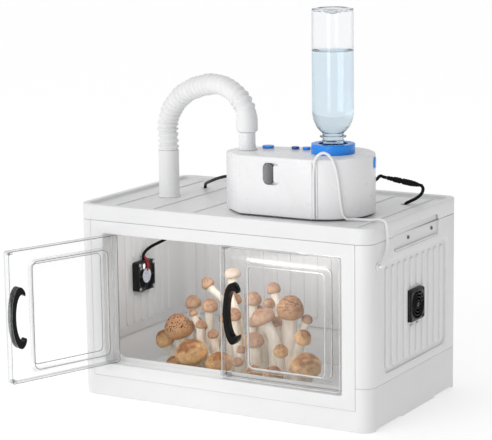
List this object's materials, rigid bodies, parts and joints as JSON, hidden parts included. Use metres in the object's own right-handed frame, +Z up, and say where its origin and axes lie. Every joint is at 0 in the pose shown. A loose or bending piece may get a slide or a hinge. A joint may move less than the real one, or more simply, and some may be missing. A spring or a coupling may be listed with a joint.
{
  "type": "mushroom grow chamber",
  "caption": "White plastic mushroom growing chamber with clear hinged double doors, fans, a bottle-fed humidifier and mist hose on its lid, and mushroom clumps inside",
  "frame": {"origin": "the centre of the crate's flat underside, on the surface it stands on", "axes": "+X to the right along the front, -Y towards the front where the doors are, +Z up"},
  "size_m": [0.5222, 0.4861, 0.6],
  "materials": {
    "crate_white": "lightly grained moulded plastic",
    "device_white": "smooth semi-gloss",
    "hose_white": "satin, slightly translucent",
    "door_clear": "clear polished plastic",
    "bottle_clear": "clear thin blown plastic",
    "water": "clear liquid",
    "handle_black": "glossy",
    "fan_black": "satin",
    "cable_black": "satin",
    "accent_blue": "glossy",
    "accent_dark_blue": "glossy",
    "window_smoke": "glossy, smoked",
    "cap_brown": "mushroom skin, brown with darker speckles",
    "cap_tan": "mushroom skin, yellow-orange tan",
    "cap_pale": "mushroom skin, pale tan",
    "stem_cream": "fibrous creamy flesh"
  },
  "bodies": {
    "crate": {"base_tray": "crate_white", "side_wall_left": "crate_white", "side_wall_right": "crate_white", "back_wall": "crate_white", "front_frame": "crate_white", "lid": "crate_white", "humidifier_base": "device_white", "humidifier_body": "device_white", "cord_grommet": "device_white", "hose": "hose_white", "lid_port_tube": "hose_white", "nozzle": "hose_white", "cord_white": "hose_white", "door_catch_top": "door_clear", "door_catch_bottom": "door_clear", "bottle": "bottle_clear", "water": "water", "fan_inner_frame": "fan_black", "fan_outer_frame": "fan_black", "fan_outer_grille": "fan_black", "cable_left": "cable_black", "cable_right_a": "cable_black", "cable_right_b": "cable_black", "cable_connector": "cable_black", "bottle_collar": "accent_blue", "button_large": "accent_blue", "button_small": "accent_blue", "blue_tab": "accent_blue", "button_middle": "accent_dark_blue", "level_window": "window_smoke", "cap_01": "cap_brown", "cap_02": "cap_tan", "cap_03": "cap_brown", "cap_04": "cap_tan", "cap_05": "cap_brown", "cap_06": "cap_brown", "cap_07": "cap_brown", "cap_08": "cap_tan", "cap_09": "cap_pale", "cap_10": "cap_brown", "cap_11": "cap_brown", "cap_12": "cap_brown", "cap_13": "cap_tan", "cap_14": "cap_brown", "cap_15": "cap_brown", "cap_16": "cap_brown", "cap_17": "cap_tan", "cap_18": "cap_tan", "cap_19": "cap_tan", "cap_20": "cap_tan", "cap_21": "cap_tan", "stem_cluster_1": "stem_cream", "stem_cluster_2": "stem_cream", "stem_cluster_3": "stem_cream"},
    "door_l": {"door_left": "door_clear", "door_handle_left": "handle_black"},
    "door_r": {"door_right": "door_clear", "door_handle_right": "handle_black"},
    "rotor_in": {"fan_inner_rotor": "fan_black"},
    "rotor_out": {"fan_outer_rotor": "fan_black"}
  },
  "joints": [
    {"name": "left_door_hinge", "type": "hinge", "parent": "crate", "child": "door_l", "pos_m": [-0.1945, -0.1465, 0.1545], "axis": [0, 0, 1], "range_deg": [-5, 110]},
    {"name": "right_door_hinge", "type": "hinge", "parent": "crate", "child": "door_r", "pos_m": [0.1945, -0.1465, 0.1545], "axis": [0, 0, 1], "range_deg": [0, 110]},
    {"name": "inner_fan_spin", "type": "hinge", "parent": "crate", "child": "rotor_in", "pos_m": [-0.2385, 0.007, 0.157], "axis": [1, 0, 0], "continuous": true},
    {"name": "outer_fan_spin", "type": "hinge", "parent": "crate", "child": "rotor_out", "pos_m": [0.247, 0, 0.161], "axis": [1, 0, 0], "continuous": true}
  ]
}
